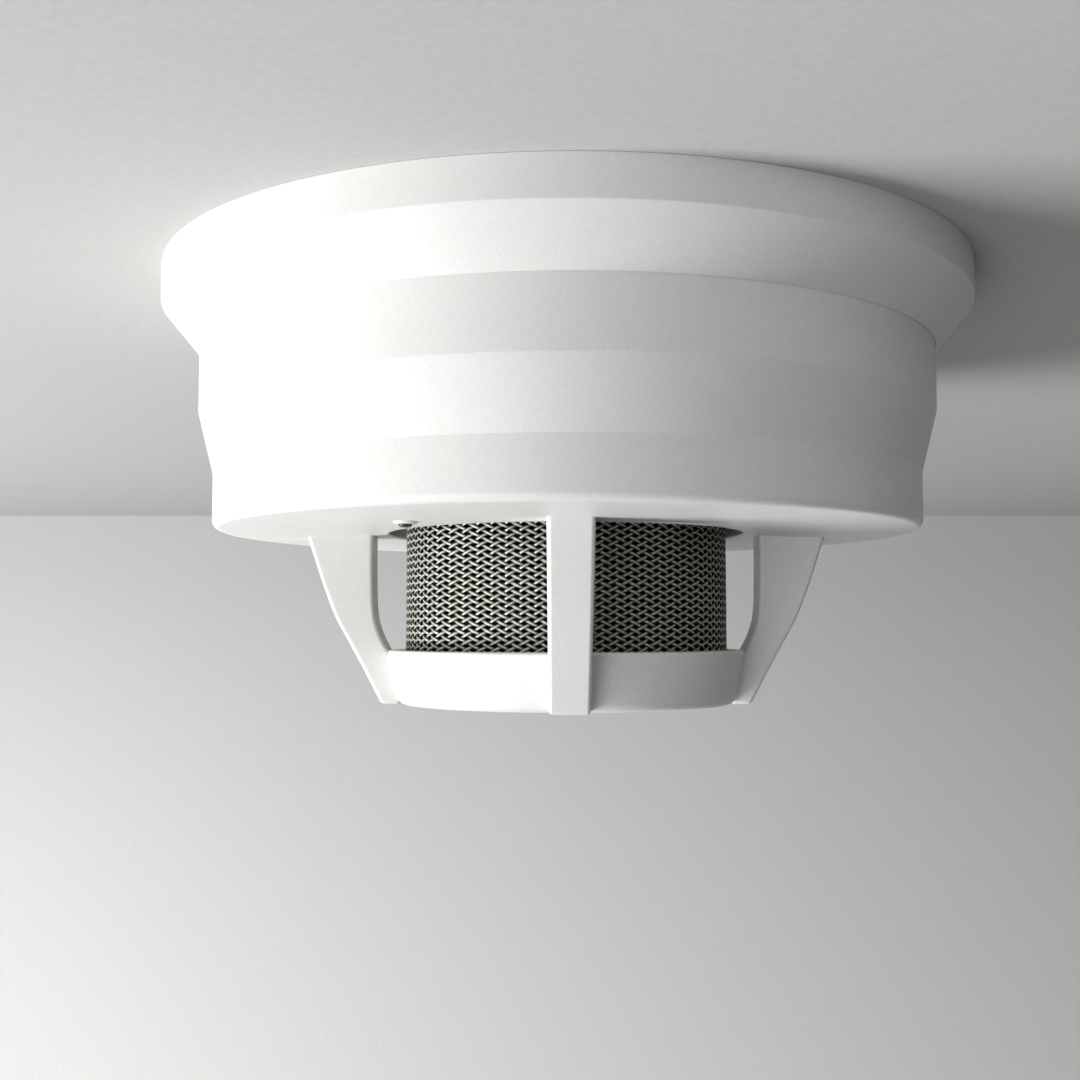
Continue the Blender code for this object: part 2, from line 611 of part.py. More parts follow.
leg_outline = ([(33.0, LEG_ROOT_Z)] + LEG_OUTER + LEG_FOOT + LEG_INNER[::-1]
               + [(24.25, LEG_ROOT_Z)])
for i, deg in enumerate(LEG_DEGS):
    leg = outline(f"leg_{i}", leg_outline, LEG_TOP_T, rotation(deg) @ UPRIGHT, cutter=True)
    # the leg thins a little towards the cap; its mesh has height along y
    for vert in leg.data.vertices:
        descent = (vert.co.y / MM - LEG_ROOT_Z) / (LEG_BOTTOM_Z - LEG_ROOT_Z)
        descent = min(1.0, max(0.0, descent))
        vert.co.z *= 1.0 + descent * (LEG_LOW_T / LEG_TOP_T - 1.0)
    join(cover, leg)

# -------------------------------------- cup that closes the bottom of the chamber
CAP_TOP_Z = -45.8
CAP_TOP_R = 22.4
CAP_LOW_R = 21.0
CAP_BOTTOM_Z = -52.5
CAP_WALL = 1.45
CAP_FLOOR = 1.8
CAP_EDGE = 1.2          # rounding of the bottom edge
CAP_CHAMFER = 0.35      # chamfer of the top edge

cap = turned("cap_cup", [
    (CAP_TOP_R - CAP_WALL, CAP_TOP_Z), (CAP_TOP_R - CAP_CHAMFER, CAP_TOP_Z),
    (CAP_TOP_R, CAP_TOP_Z - CAP_CHAMFER)]
    + arc(CAP_LOW_R - CAP_EDGE, CAP_BOTTOM_Z + CAP_EDGE, CAP_EDGE, 0.0, -90.0, 4)
    + [(0.0, CAP_BOTTOM_Z), (0.0, CAP_BOTTOM_Z + CAP_FLOOR),
       (CAP_LOW_R - CAP_WALL - 0.1, CAP_BOTTOM_Z + CAP_FLOOR)],
    SEG_BIG, cutter=True)
join(cover, cap)

# --------------------------------------------- ribs that key cover to chassis
for i, deg in enumerate(QUARTER_DEGS):
    join(cover, box(f"cover_rib_{i}", (42.3, 44.2), 3.0, (-20.0, -9.9),
                    cutter=True, bearing=deg))

# ---------------------------- gaps in the spigot that the base's keys run in
TWIST_DEG = 15.0        # turn that unlocks the head
KEY_PLAY_DEG = 0.5
GAP_INNER_R = 42.9
GAP_OUTER_R = 46.5
GAP_HEIGHT = 4.4
GAP_MID_Z = -7.0

gap_start = -(KEY_DEG / 2 + KEY_PLAY_DEG)
gap_end = KEY_DEG / 2 + KEY_PLAY_DEG + TWIST_DEG
gap_outline = (arc(0.0, 0.0, GAP_INNER_R, gap_start, gap_end, 8)
               + arc(0.0, 0.0, GAP_OUTER_R, gap_end, gap_start, 8))
for i, deg in enumerate(KEY_DEGS):
    cut(cover, outline(f"key_gap_{i}", gap_outline, GAP_HEIGHT,
                       rotation(deg) @ shift(z=GAP_MID_Z), cutter=True))

# ------------------------------------- bezel and hole of the alarm indicator
BEZEL_R = 1.36
BEZEL_TIP_R = 1.08
BEZEL_TOP_Z = -30.9
BEZEL_TIP_Z = -32.02
BEZEL_HOLE_R = 0.88

bezel = turned("bezel", [
    (0.0, BEZEL_TOP_Z), (BEZEL_R, BEZEL_TOP_Z), (BEZEL_R, -31.8),
    (BEZEL_TIP_R, BEZEL_TIP_Z), (0.0, BEZEL_TIP_Z)], SEG_SMALL, cutter=True, closed=False)
bezel.location = (indicator_x * MM, indicator_y * MM, 0.0)
join(cover, bezel)
cut(cover, rod_cutter("bezel_hole", BEZEL_HOLE_R, (-33.0, -29.0),
                      (indicator_x, indicator_y), SEG_SMALL))

for ob in PARTS.objects:
    ob.data.validate()
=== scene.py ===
"""An optical smoke detector hanging under a ceiling.

The ceiling is z = 0 and the detector reaches down to about z = -52.5 mm, centred on the
z axis. The camera looks along +Y. Parts are drawn in millimetres, and the stage, lights
and camera in metres. Angles are degrees about z, from +X.
"""
import math

import bmesh
import bpy
import numpy as np
from mathutils import Matrix, Vector


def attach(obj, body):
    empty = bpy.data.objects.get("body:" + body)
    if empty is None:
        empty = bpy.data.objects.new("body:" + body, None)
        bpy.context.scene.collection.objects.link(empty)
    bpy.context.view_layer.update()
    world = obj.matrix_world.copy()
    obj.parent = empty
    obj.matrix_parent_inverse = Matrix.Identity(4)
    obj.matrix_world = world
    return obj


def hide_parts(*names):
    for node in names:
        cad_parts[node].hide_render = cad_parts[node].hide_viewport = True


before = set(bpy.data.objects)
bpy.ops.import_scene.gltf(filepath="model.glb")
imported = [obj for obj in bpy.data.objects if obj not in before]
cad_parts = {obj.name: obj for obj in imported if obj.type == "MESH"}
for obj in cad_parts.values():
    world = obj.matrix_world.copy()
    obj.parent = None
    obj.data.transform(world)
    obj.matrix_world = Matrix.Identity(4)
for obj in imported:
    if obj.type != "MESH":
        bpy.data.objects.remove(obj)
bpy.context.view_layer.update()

MM = 0.001
TMP = []            # cutters and part shapes, removed once used

# ======================================================== shared places, in mm
QUARTERS = (0.0, 90.0, 180.0, 270.0)
TERMINALS = (45.0, 135.0, 225.0, 315.0)
TERMINAL_R = 26.5
BOARD_SCREWS = (90.0, 210.0, 330.0)
BOARD_SCREW_R = 30.0
HEAD_R = 41.3               # circuit board, and the chassis inside its rim
BOARD_TOP = -15.5
BOARD_FACE = -17.1          # underside of the board, which carries the parts
LEAD_TOP = BOARD_FACE - 0.02

# Parts on the board: (radius, degrees)
INDICATOR_AT = (31.73, 236.25)
CONTROLLER_AT = (30.5, 20.0)
CAN_AT = (30.5, 57.0)
BRIDGE_AT = (31.0, 118.0)
CHOKE_AT = (31.0, 305.0)
VARISTOR_AT = (31.0, 275.0)
CAPACITOR_1_AT = (31.5, 160.0)
CAPACITOR_2_AT = (31.5, 186.0)


# =================================================================== placement
def polar(r, deg):
    return (r * math.cos(math.radians(deg)), r * math.sin(math.radians(deg)))


def spin(deg):
    return Matrix.Rotation(math.radians(deg), 4, "Z")


def shift(x=0.0, y=0.0, z=0.0):
    return Matrix.Translation((x * MM, y * MM, z * MM))


def around(r, deg):
    """Out along x by r, then turned about the axis."""
    return spin(deg) @ shift(r)


UPRIGHT = Matrix.Rotation(math.radians(90.0), 4, "X")   # local y becomes z
INDICATOR_XY = polar(*INDICATOR_AT)


# ====================================================================== shapes
def new_object(name, data):
    ob = bpy.data.objects.new(name, data)
    bpy.context.scene.collection.objects.link(ob)
    return ob


def bmesh_object(name, bm):
    mesh = bpy.data.meshes.new(name)
    bm.to_mesh(mesh)
    bm.free()
    return new_object(name, mesh)


def bake(ob):
    """Replace the mesh by the result of the modifiers."""
    bpy.context.view_layer.update()
    deps = bpy.context.evaluated_depsgraph_get()
    mesh = bpy.data.meshes.new_from_object(ob.evaluated_get(deps))
    mesh.name = ob.name
    ob.modifiers.clear()
    ob.data = mesh
    return ob


def bevel(ob, width, seg, angle=35.0):
    mod = ob.modifiers.new("edge", "BEVEL")
    mod.width = width * MM
    mod.segments = seg
    mod.limit_method = "ANGLE"
    mod.angle_limit = math.radians(angle)
    bake(ob)


def fillet(corners, steps):
    """(r, z) or (r, z, corner radius) -> points, with those corners rounded."""
    out = []
    for i, corner in enumerate(corners):
        if len(corner) < 3:
            out.append(corner)
            continue
        before, here, after = (Vector(corners[i - 1][:2]), Vector(corner[:2]),
                               Vector(corners[(i + 1) % len(corners)][:2]))
        back, ahead = (before - here).normalized(), (after - here).normalized()
        half = back.angle(ahead) / 2
        dist = corner[2] / math.tan(half)
        dist = min(dist, 0.49 * (before - here).length, 0.49 * (after - here).length)
        radius = dist * math.tan(half)
        centre = here + (back + ahead).normalized() * (radius / math.sin(half))
        start, end = here + back * dist - centre, here + ahead * dist - centre
        sweep = start.angle(end)
        sign = 1.0 if start.x * end.y - start.y * end.x > 0 else -1.0
        for k in range(steps + 1):
            t = sign * sweep * k / steps
            out.append((centre.x + start.x * math.cos(t) - start.y * math.sin(t),
                        centre.y + start.x * math.sin(t) + start.y * math.cos(t)))
    return out


def turned(name, profile, seg=192, closed=True, at=(0.0, 0.0), tmp=False, steps=4):
    """A profile of (radius, z, corner radius), turned about z and moved to at."""
    bm = bmesh.new()
    verts = [bm.verts.new((r * MM, 0.0, z * MM)) for r, z in fillet(profile, steps)]
    count = len(verts)
    for i in range(count if closed else count - 1):
        bm.edges.new((verts[i], verts[(i + 1) % count]))
    ob = bmesh_object(name, bm)
    mod = ob.modifiers.new("turn", "SCREW")
    mod.axis = "Z"
    mod.steps = mod.render_steps = seg
    mod.use_merge_vertices = True
    mod.merge_threshold = 0.000001
    mod.use_smooth_shade = True
    bake(ob)
    ob.data.transform(shift(*at))
    if tmp:
        TMP.append(ob)
    return ob


def box(name, lo, hi, deg=0.0, edge=0.0, seg=2, tmp=True):
    """A box between two corners, its edges rounded by edge, turned about z."""
    bm = bmesh.new()
    bmesh.ops.create_cube(bm, size=1.0)
    size = [(b - a) * MM for a, b in zip(lo, hi)]
    bm.transform(shift(*[(a + b) / 2 for a, b in zip(lo, hi)])
                 @ Matrix.Diagonal((*size, 1.0)))
    ob = bmesh_object(name, bm)
    if edge > 0:
        bevel(ob, edge, seg)
    ob.data.transform(spin(deg))
    if tmp:
        TMP.append(ob)
    return ob


def rod(name, r, top, low, at=(0.0, 0.0), seg=40, tmp=True):
    bm = bmesh.new()
    bmesh.ops.create_cone(bm, cap_ends=True, segments=seg, radius1=r * MM,
                          radius2=r * MM, depth=abs(top - low) * MM)
    bm.transform(shift(at[0], at[1], (top + low) / 2))
    ob = bmesh_object(name, bm)
    if tmp:
        TMP.append(ob)
    return ob


def slab(name, points, half, matrix=None, edge=0.0, seg=3, angle=35.0):
    """A flat outline, made thick by half each way along local z."""
    bm = bmesh.new()
    low = [bm.verts.new((x * MM, y * MM, -half * MM)) for x, y in points]
    top = [bm.verts.new((x * MM, y * MM, half * MM)) for x, y in points]
    bm.faces.new(list(reversed(low)))
    bm.faces.new(top)
    for i in range(len(points)):
        j = (i + 1) % len(points)
        bm.faces.new((low[i], low[j], top[j], top[i]))
    bmesh.ops.recalc_face_normals(bm, faces=bm.faces)
    ob = bmesh_object(name, bm)
    if edge > 0:
        bevel(ob, edge, seg, angle)
    if matrix is not None:
        ob.data.transform(matrix)
    TMP.append(ob)
    return ob


def arc_outline(radius, centres, steps):
    """Arcs of one radius in 9 degree steps, from (x, y, start angle) centres."""
    return [(x + radius * math.cos(math.radians(start + 9.0 * k)),
             y + radius * math.sin(math.radians(start + 9.0 * k)))
            for x, y, start in centres for k in range(steps + 1)]


def spline(points, steps):
    """Catmull-Rom through the points."""
    out = []
    p = [points[0]] + list(points) + [points[-1]]
    for i in range(1, len(p) - 2):
        for k in range(steps):
            t = k / steps
            out.append(tuple(
                0.5 * ((2 * p[i][c]) + (-p[i - 1][c] + p[i + 1][c]) * t
                       + (2 * p[i - 1][c] - 5 * p[i][c] + 4 * p[i + 1][c] - p[i + 2][c]) * t * t
                       + (-p[i - 1][c] + 3 * p[i][c] - 3 * p[i + 1][c] + p[i + 2][c]) * t ** 3)
                for c in (0, 1)))
    out.append(tuple(points[-1]))
    return out


def boolean(ob, tools, operation):
    for tool in tools:
        mod = ob.modifiers.new("b", "BOOLEAN")
        mod.operation = operation
        mod.solver = "EXACT"
        mod.object = tool
    bake(ob)


def join(ob, *tools):
    boolean(ob, tools, "UNION")


def cut(ob, *tools):
    boolean(ob, tools, "DIFFERENCE")


def merge(name, obs):
    """One mesh from several closed shapes that only touch."""
    bm = bmesh.new()
    for ob in obs:
        bm.from_mesh(ob.data)
    return bmesh_object(name, bm)


def placed(source, name, matrix):
    ob = new_object(name, source.data.copy())
    ob.data.transform(matrix)
    return ob


def drop_tmp():
    for ob in TMP:
        bpy.data.objects.remove(ob, do_unlink=True)
    TMP.clear()


def smooth(ob, angle=32.0, weighted=False):
    """Smooth shading, with edges sharper than angle left sharp."""
    ob.data.shade_smooth()
    ob.data.set_sharp_from_angle(angle=math.radians(angle))
    if weighted:
        mod = ob.modifiers.new("normals", "WEIGHTED_NORMAL")
        mod.keep_sharp = True
        mod.weight = 70
    return ob


def finish(ob, mat, body, slot, *nodes):
    """Give the material, the body it rides with and the CAD nodes it replaces."""
    ob.data.materials.clear()
    ob.data.materials.append(mat)
    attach(ob, body)
    if nodes:
        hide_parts(*nodes)


# ============================================================ material helpers
def feed(tree, node, inputs):
    """Set each input of a node: sockets are linked, values are stored."""
    for key, value in inputs.items():
        if isinstance(value, bpy.types.NodeSocket):
            tree.links.new(value, node.inputs[key])
        else:
            node.inputs[key].default_value = value


def add_node(tree, kind, inputs, **settings):
    node = tree.nodes.new("ShaderNode" + kind)
    for key, value in settings.items():
        setattr(node, key, value)
    feed(tree, node, inputs)
    return node


def new_mat(name):
    mat = bpy.data.materials.new(name)
    mat.use_nodes = True
    return mat, mat.node_tree, mat.node_tree.nodes["Principled BSDF"]


def coord(tree, scale=(1.0, 1.0, 1.0)):
    source = add_node(tree, "TexCoord", {})
    mapping = add_node(tree, "Mapping", {"Scale": scale, "Vector": source.outputs["Object"]})
    return mapping.outputs["Vector"]


def noise(tree, vec, scale, detail=3.0, rough=0.55):
    return add_node(tree, "TexNoise", {"Scale": scale, "Detail": detail, "Roughness": rough,
                                       "Vector": vec}).outputs["Fac"]


def ramp(tree, fac, stops):
    """Colours at (position, colour) stops."""
    node = add_node(tree, "ValToRGB", {"Fac": fac})
    elements = node.color_ramp.elements
    while len(elements) < len(stops):
        elements.new(0.5)
    for element, (position, colour) in zip(elements, stops):
        element.position = position
        element.color = (*colour, 1.0)
    return node.outputs["Color"]


def remap(tree, value, to, source=(0.3, 0.7)):
    """Map the source range to another; the default is the useful span of a noise."""
    return add_node(tree, "MapRange", {
        "From Min": source[0], "From Max": source[1], "To Min": to[0], "To Max": to[1],
        "Value": value}).outputs["Result"]


def mix(tree, factor, first, second, blend="MIX"):
    """Blend two colours; inputs 6 and 7 are the colour sockets."""
    return add_node(tree, "Mix", {"Factor": factor, 6: first, 7: second},
                    data_type="RGBA", blend_type=blend).outputs[2]


def bump(tree, bsdf, layers):
    """Chained layers of (height socket, strength, distance in mm)."""
    normal = {}
    for height, strength, dist in layers:
        node = add_node(tree, "Bump", {"Strength": strength, "Distance": dist * MM,
                                       "Height": height, **normal})
        normal = {"Normal": node.outputs["Normal"]}
    feed(tree, bsdf, normal)


def speckle(tree, colour, vec, scale, amount):
    """Multiply a colour by a fine even grain."""
    grain = ramp(tree, noise(tree, vec, scale, detail=1.0, rough=0.5),
                 [(0.32, (1.0 - amount,) * 3), (0.68, (1.0 + amount,) * 3)])
    return mix(tree, 1.0, colour, grain, "MULTIPLY")


# ================================================================== materials
def plastic(name, colour, rough, grain, grit, vary, spec=0.45, coat=0.0, speck=0.0):
    """A moulding with even grain (its scale, and grit its depth) and faint flow marks."""
    mat, tree, bsdf = new_mat(name)
    vec = coord(tree)
    fine = noise(tree, vec, grain, detail=2.0, rough=0.6)
    mid = noise(tree, vec, 420.0, rough=0.5)
    broad = noise(tree, vec, 38.0, detail=4.0)
    dark = tuple(c * (1.0 - vary) for c in colour)
    light = tuple(min(1.0, c * (1.0 + vary * 0.6)) for c in colour)
    shade = ramp(tree, broad, [(0.3, dark), (0.5, colour), (0.72, light)])
    if speck > 0:
        shade = speckle(tree, shade, vec, scale=2900.0, amount=speck)
    feed(tree, bsdf, {"Base Color": shade,
                      "Roughness": remap(tree, mid, (rough - 0.05, rough + 0.06)),
                      "Specular IOR Level": spec, "Coat Weight": coat})
    bump(tree, bsdf, [(broad, 0.05, 0.05), (mid, 0.06, 0.03), (fine, grit, 0.014)])
    return mat


def metal(name, colour, rough, brushed, lines=0.18, tarnish=0.12):
    """Metal with fine lines (scaled by brushed, lines deep) and a little dulling."""
    mat, tree, bsdf = new_mat(name)
    drawn = noise(tree, coord(tree, brushed), 1.0, detail=2.0, rough=0.6)
    cloud = noise(tree, coord(tree), 260.0, detail=4.0, rough=0.6)
    dull = tuple(c * (1.0 - tarnish) for c in colour)
    feed(tree, bsdf, {"Base Color": ramp(tree, cloud, [(0.32, dull), (0.62, colour)]),
                      "Metallic": 1.0,
                      "Roughness": remap(tree, cloud, (rough + 0.1, rough - 0.05))})
    bump(tree, bsdf, [(drawn, lines, 0.006), (cloud, 0.08, 0.01)])
    return mat


def foam_mat():
    """Nearly black, with open cells whose sunken middles carry painted shade."""
    mat, tree, bsdf = new_mat("seal_foam")
    vec = coord(tree)
    cell = add_node(tree, "TexVoronoi", {"Scale": 2600.0, "Vector": vec}).outputs["Distance"]
    broad = noise(tree, vec, 180.0)
    # painted shade: darker towards each cell's middle, where the bump sinks into a pit
    shade = ramp(tree, cell, [(0.1, (0.018, 0.018, 0.019)), (0.7, (0.07, 0.07, 0.072))])
    feed(tree, bsdf, {"Base Color": shade, "Roughness": 0.95, "Specular IOR Level": 0.2})
    bump(tree, bsdf, [(cell, 0.8, 0.12), (broad, 0.3, 0.15)])
    return mat


def board_mat():
    """Green solder mask over copper: raised tracks on a grid, and tinned vias."""
    mat, tree, bsdf = new_mat("board")
    vec = coord(tree, (1.0, 1.0, 0.0))
    grid = add_node(tree, "TexBrick", {
        "Scale": 105.0, "Mortar Size": 0.035, "Mortar Smooth": 0.1, "Brick Width": 0.9,
        "Row Height": 0.125, "Vector": vec}).outputs["Fac"]
    spots = add_node(tree, "TexVoronoi", {"Scale": 210.0, "Randomness": 0.85, "Vector": vec},
                     voronoi_dimensions="2D")
    # A bright ring about a dark middle.
    via = ramp(tree, spots.outputs["Distance"],
               [(0.0, (0.01, 0.01, 0.01)), (0.085, (0.01, 0.01, 0.01)),
                (0.09, (1, 1, 1)), (0.17, (1, 1, 1)), (0.18, (0, 0, 0))])
    cloud = noise(tree, coord(tree), 60.0)
    mask = ramp(tree, cloud, [(0.35, (0.008, 0.10, 0.045)), (0.65, (0.014, 0.14, 0.06))])
    track = ramp(tree, cloud, [(0.35, (0.03, 0.22, 0.09)), (0.65, (0.04, 0.27, 0.11))])
    tinned = (0.72, 0.70, 0.62, 1.0)
    feed(tree, bsdf, {"Base Color": mix(tree, via, mix(tree, grid, mask, track), tinned),
                      "Metallic": via, "Roughness": 0.33, "Coat Weight": 0.35,
                      "Coat Roughness": 0.2})
    bump(tree, bsdf, [(grid, 0.5, 0.04), (cloud, 0.05, 0.05)])
    return mat


def wire_mat():
    """Fine steel wire with painted light: a painted highlight on its outward crowns, painted
    olive-brown shade where it dips into the weave, and patches of dust.
    """
    mat, tree, bsdf = new_mat("screen_wire")
    vec = coord(tree)
    fine = noise(tree, vec, 900.0)
    broad = noise(tree, vec, 140.0)
    painted_crown_light = add_node(tree, "Attribute", {}, attribute_name="painted_crown_light").outputs["Fac"]
    # painted highlight on the outward crowns, painted shade where the wire dips into the weave
    shade = ramp(tree, painted_crown_light, [(0.05, (0.055, 0.052, 0.038)), (0.5, (0.255, 0.252, 0.212)),
                               (0.95, (0.53, 0.545, 0.53))])
    dust = ramp(tree, broad, [(0.3, (0.7, 0.68, 0.6)), (0.7, (1, 1, 1))])
    feed(tree, bsdf, {"Base Color": mix(tree, 0.6, shade, dust, "MULTIPLY"),
                      "Metallic": 0.55, "Roughness": remap(tree, fine, (0.40, 0.58))})
    bump(tree, bsdf, [(fine, 0.15, 0.01)])
    return mat


def smoked(name, colour, rough, trans):
    """Dark clear plastic."""
    mat, tree, bsdf = new_mat(name)
    cloud = noise(tree, coord(tree), 500.0)
    shade = ramp(tree, cloud, [(0.3, tuple(c * 0.85 for c in colour)), (0.7, colour)])
    feed(tree, bsdf, {"Base Color": shade,
                      "Roughness": remap(tree, cloud, (rough, rough + 0.08)),
                      "Transmission Weight": trans, "IOR": 1.49})
    bump(tree, bsdf, [(cloud, 0.06, 0.01)])
    return mat


OFF_WHITE = (0.80, 0.795, 0.785)
COVER = plastic("cover_abs", OFF_WHITE, rough=0.40, grain=2300.0, grit=0.30, vary=0.018,
                speck=0.022)
BASE = plastic("base_abs", OFF_WHITE, rough=0.43, grain=2100.0, grit=0.30, vary=0.02,
               speck=0.022)
CHASSIS = plastic("chassis_abs", (0.72, 0.71, 0.685), rough=0.5, grain=1700.0, grit=0.35,
                  vary=0.035)
BLACK = plastic("chamber_black", (0.010, 0.010, 0.011), rough=0.82, grain=1500.0, grit=0.5,
                vary=0.2, spec=0.08)
RESIN = plastic("chip_resin", (0.022, 0.022, 0.024), rough=0.55, grain=3200.0, grit=0.6,
                vary=0.15, spec=0.3)
PHOTO = plastic("photodiode_black", (0.02, 0.018, 0.022), rough=0.14, grain=900.0,
                grit=0.05, vary=0.1, spec=0.5)
CERAMIC = plastic("chip_ceramic", (0.42, 0.29, 0.17), rough=0.5, grain=3000.0, grit=0.3,
                  vary=0.15, spec=0.4)
LACQUER = plastic("varistor_lacquer", (0.03, 0.11, 0.42), rough=0.3, grain=700.0, grit=0.35,
                  vary=0.12, spec=0.5, coat=0.4)
RED = plastic("led_red", (0.52, 0.03, 0.025), rough=0.24, grain=900.0, grit=0.08, vary=0.1,
              spec=0.5)
BRASS = metal("contact_brass", (0.83, 0.64, 0.30), rough=0.26, brushed=(120.0, 1400.0, 1400.0))
SPRING = metal("spring_steel", (0.66, 0.65, 0.62), rough=0.27, brushed=(120.0, 1500.0, 1500.0))
ZINC = metal("zinc_steel", (0.60, 0.61, 0.62), rough=0.33, brushed=(500.0, 500.0, 500.0),
             lines=0.14, tarnish=0.2)
TIN = metal("shield_tin", (0.64, 0.64, 0.62), rough=0.36, brushed=(80.0, 1200.0, 1200.0),
            lines=0.16, tarnish=0.15)
ALUMINIUM = metal("can_aluminium", (0.77, 0.77, 0.78), rough=0.28,
                  brushed=(1600.0, 1600.0, 60.0), lines=0.16)
FOAM = foam_mat()
BOARD = board_mat()
WIRE = wire_mat()
PIPE = smoked("light_pipe", (0.085, 0.075, 0.07), rough=0.1, trans=0.35)
LENS = smoked("diode_lens", (0.16, 0.10, 0.22), rough=0.06, trans=0.6)

# ================================================================ base plate
BASE_PROFILE = [
    (0.0, 0.0), (50.0, 0.0, 0.04), (50.0, -4.37, 0.3), (45.5, -9.78, 0.02),
    (45.5, -8.2, 0.3), (47.8, -5.0, 0.5), (47.8, -2.5, 0.4), (0.0, -2.5)]
SLOT_R = 24.5               # two slots with round ends, on the x axis
SLOT_HALF = 3.0             # from a slot's middle to the centre of each end
PAD_END, SLOT_END = 4.2, 2.2        # end radii of the raised pad and of its slot
# Corner centres of the rounded cable entry: (x, y, start angle)
ENTRY_CORNERS = ((7.0, 13.0, 0.0), (-7.0, 13.0, 90.0), (-7.0, 10.5, 180.0),
                 (7.0, 10.5, 270.0))


def stadium(x, radius):
    return arc_outline(radius, ((x + SLOT_HALF, 0.0, -90.0), (x - SLOT_HALF, 0.0, 90.0)), 20)


base = turned("base_moulding", BASE_PROFILE, 256, closed=False)
keys = [box("key", (43.9, -2.35, -8.9), (46.6, 2.35, -1.6), d, 0.25) for d in (0.0, 180.0)]
posts = [box("post", (22.2, -4.0, -5.0), (31.0, 4.0, -1.5), d, 0.35) for d in TERMINALS]
webs = [box("web", (32.0, -0.45, -3.6), (42.0, 0.45, -2.0), d, 0.15) for d in QUARTERS]
pads = [slab("pad", stadium(x, PAD_END), 0.75, shift(z=-2.25), 0.12, 2, angle=50.0)
        for x in (SLOT_R, -SLOT_R)]
join(base, *keys, *posts, *webs, *pads)
holes = [rod("hole", 1.75, -0.9, -7.0, polar(TERMINAL_R, d), 32) for d in TERMINALS]
entry = slab("entry", arc_outline(4.0, ENTRY_CORNERS, 10), 5.0)
slots = [slab("slot", stadium(x, SLOT_END), 5.0) for x in (SLOT_R, -SLOT_R)]
cut(base, *holes, entry, *slots)
finish(smooth(base, weighted=True), BASE, "base", "base_abs", "base_plate")
drop_tmp()

# ================================================================= head cover
CROWN_R = 32.5              # where the underside hangs lowest


def underside(r):
    """The cover's underside is slightly crowned."""
    return -31.75 + (0.0048 if r > CROWN_R else 0.0036) * (r - CROWN_R) ** 2


COVER_PROFILE = [
    (45.2, -6.0, 0.3), (45.2, -9.3), (45.46, -9.5, 0.03), (45.48, -17.33, 0.5),
    (43.69, -24.71, 0.5), (43.69, underside(43.69), 0.95)]
COVER_PROFILE += [(41.5 - 1.5 * k, underside(41.5 - 1.5 * k)) for k in range(13)]
COVER_PROFILE += [
    (22.3, underside(22.3), 0.35), (22.3, -28.4, 0.2),
    (23.8, -28.4, 0.3), (24.6, -29.9, 0.5), (33.5, -29.9), (41.8, -29.3, 0.9),
    (41.8, -24.4, 0.5), (43.5, -17.2, 0.5), (43.5, -6.0, 0.2)]
CAP_PROFILE = [
    (20.95, -45.8, 0.2), (22.4, -45.8, 0.35), (21.05, -52.5, 1.25), (0.0, -52.5),
    (0.0, -50.7), (19.45, -50.7, 0.6)]

# Legs that carry the cap: (radius, z) down the outer and the inner edge
LEG_OUTER = ((32.45, -31.65), (31.75, -33.8), (30.76, -36.8), (29.75, -39.6),
             (28.7, -42.1), (27.15, -44.9), (25.2, -48.45), (23.05, -52.55))
LEG_INNER = ((24.2, -31.7), (24.18, -35.5), (24.1, -39.2), (23.98, -41.0),
             (23.76, -42.35), (23.1, -44.2), (22.04, -46.2))
LEG_OUTLINE = ([(32.95, -30.4)] + spline(LEG_OUTER, 5)
               + [(20.6, -52.55), (20.4, -51.2), (21.3, -47.2)]
               + list(reversed(spline(LEG_INNER, 5))) + [(24.25, -30.4)])
LEG_WIDTH, LEG_FOOT_WIDTH = 5.08, 4.62      # the width narrows downward
LEG_TOP, LEG_FOOT = -30.6, -52.6


def cover_leg(deg):
    leg = slab("leg", LEG_OUTLINE, LEG_WIDTH / 2, None, 0.5, 4, angle=50.0)
    co = np.array([v.co for v in leg.data.vertices])
    down = np.clip((co[:, 1] * 1000.0 - LEG_TOP) / (LEG_FOOT - LEG_TOP), 0.0, 1.0)
    co[:, 2] *= 1.0 + down * (LEG_FOOT_WIDTH / LEG_WIDTH - 1.0)
    leg.data.vertices.foreach_set("co", co.ravel())
    leg.data.transform(spin(deg) @ UPRIGHT)
    return leg


cover = turned("cover_moulding", COVER_PROFILE, 288, steps=8)
cap = turned("cap", CAP_PROFILE, 288, tmp=True, steps=6)
legs = [cover_leg(d) for d in (270.0, 0.0, 90.0, 180.0)]
ribs = [box("rib", (42.3, -1.5, -20.0), (44.2, 1.5, -9.9), d, 0.15) for d in QUARTERS]
join(cover, cap, *legs, *ribs)

# Two openings through the rim, each 22 degrees long
opening = ([polar(42.9, -3.5 + 22.0 * k / 10) for k in range(11)]
           + [polar(46.5, 18.5 - 22.0 * k / 10) for k in range(11)])
gaps = [slab("gap", opening, 2.2, spin(d) @ shift(z=-7.0)) for d in (0.0, 180.0)]
bezel = turned("bezel", [(0.0, -30.9), (1.36, -30.9), (1.36, -31.8, 0.1),
                         (1.06, -32.02, 0.06), (0.0, -32.02)], 48, False, INDICATOR_XY, True)
join(cover, bezel)
cut(cover, rod("bezel_hole", 0.84, -29.0, -33.0, INDICATOR_XY, 48), *gaps)
finish(smooth(cover, weighted=True), COVER, "cover", "cover_abs", "head_cover")
drop_tmp()

# ========================================================= woven insect screen
WIRES = 17              # of one family, in each quarter of the tube
WIRE_SLOPE = math.tan(math.radians(27.3))
WIRE_R = 0.185          # half the wire's width
WIRE_T = 0.082          # half its thickness: the cloth is rolled slightly flat
MID_R = 20.16 - 2 * WIRE_T - 0.012
SCREEN_TOP, SCREEN_LOW = -27.15, -47.1
WIRE_SIDES = 12
CROSSING_STEPS = 8      # points along a wire between crossings


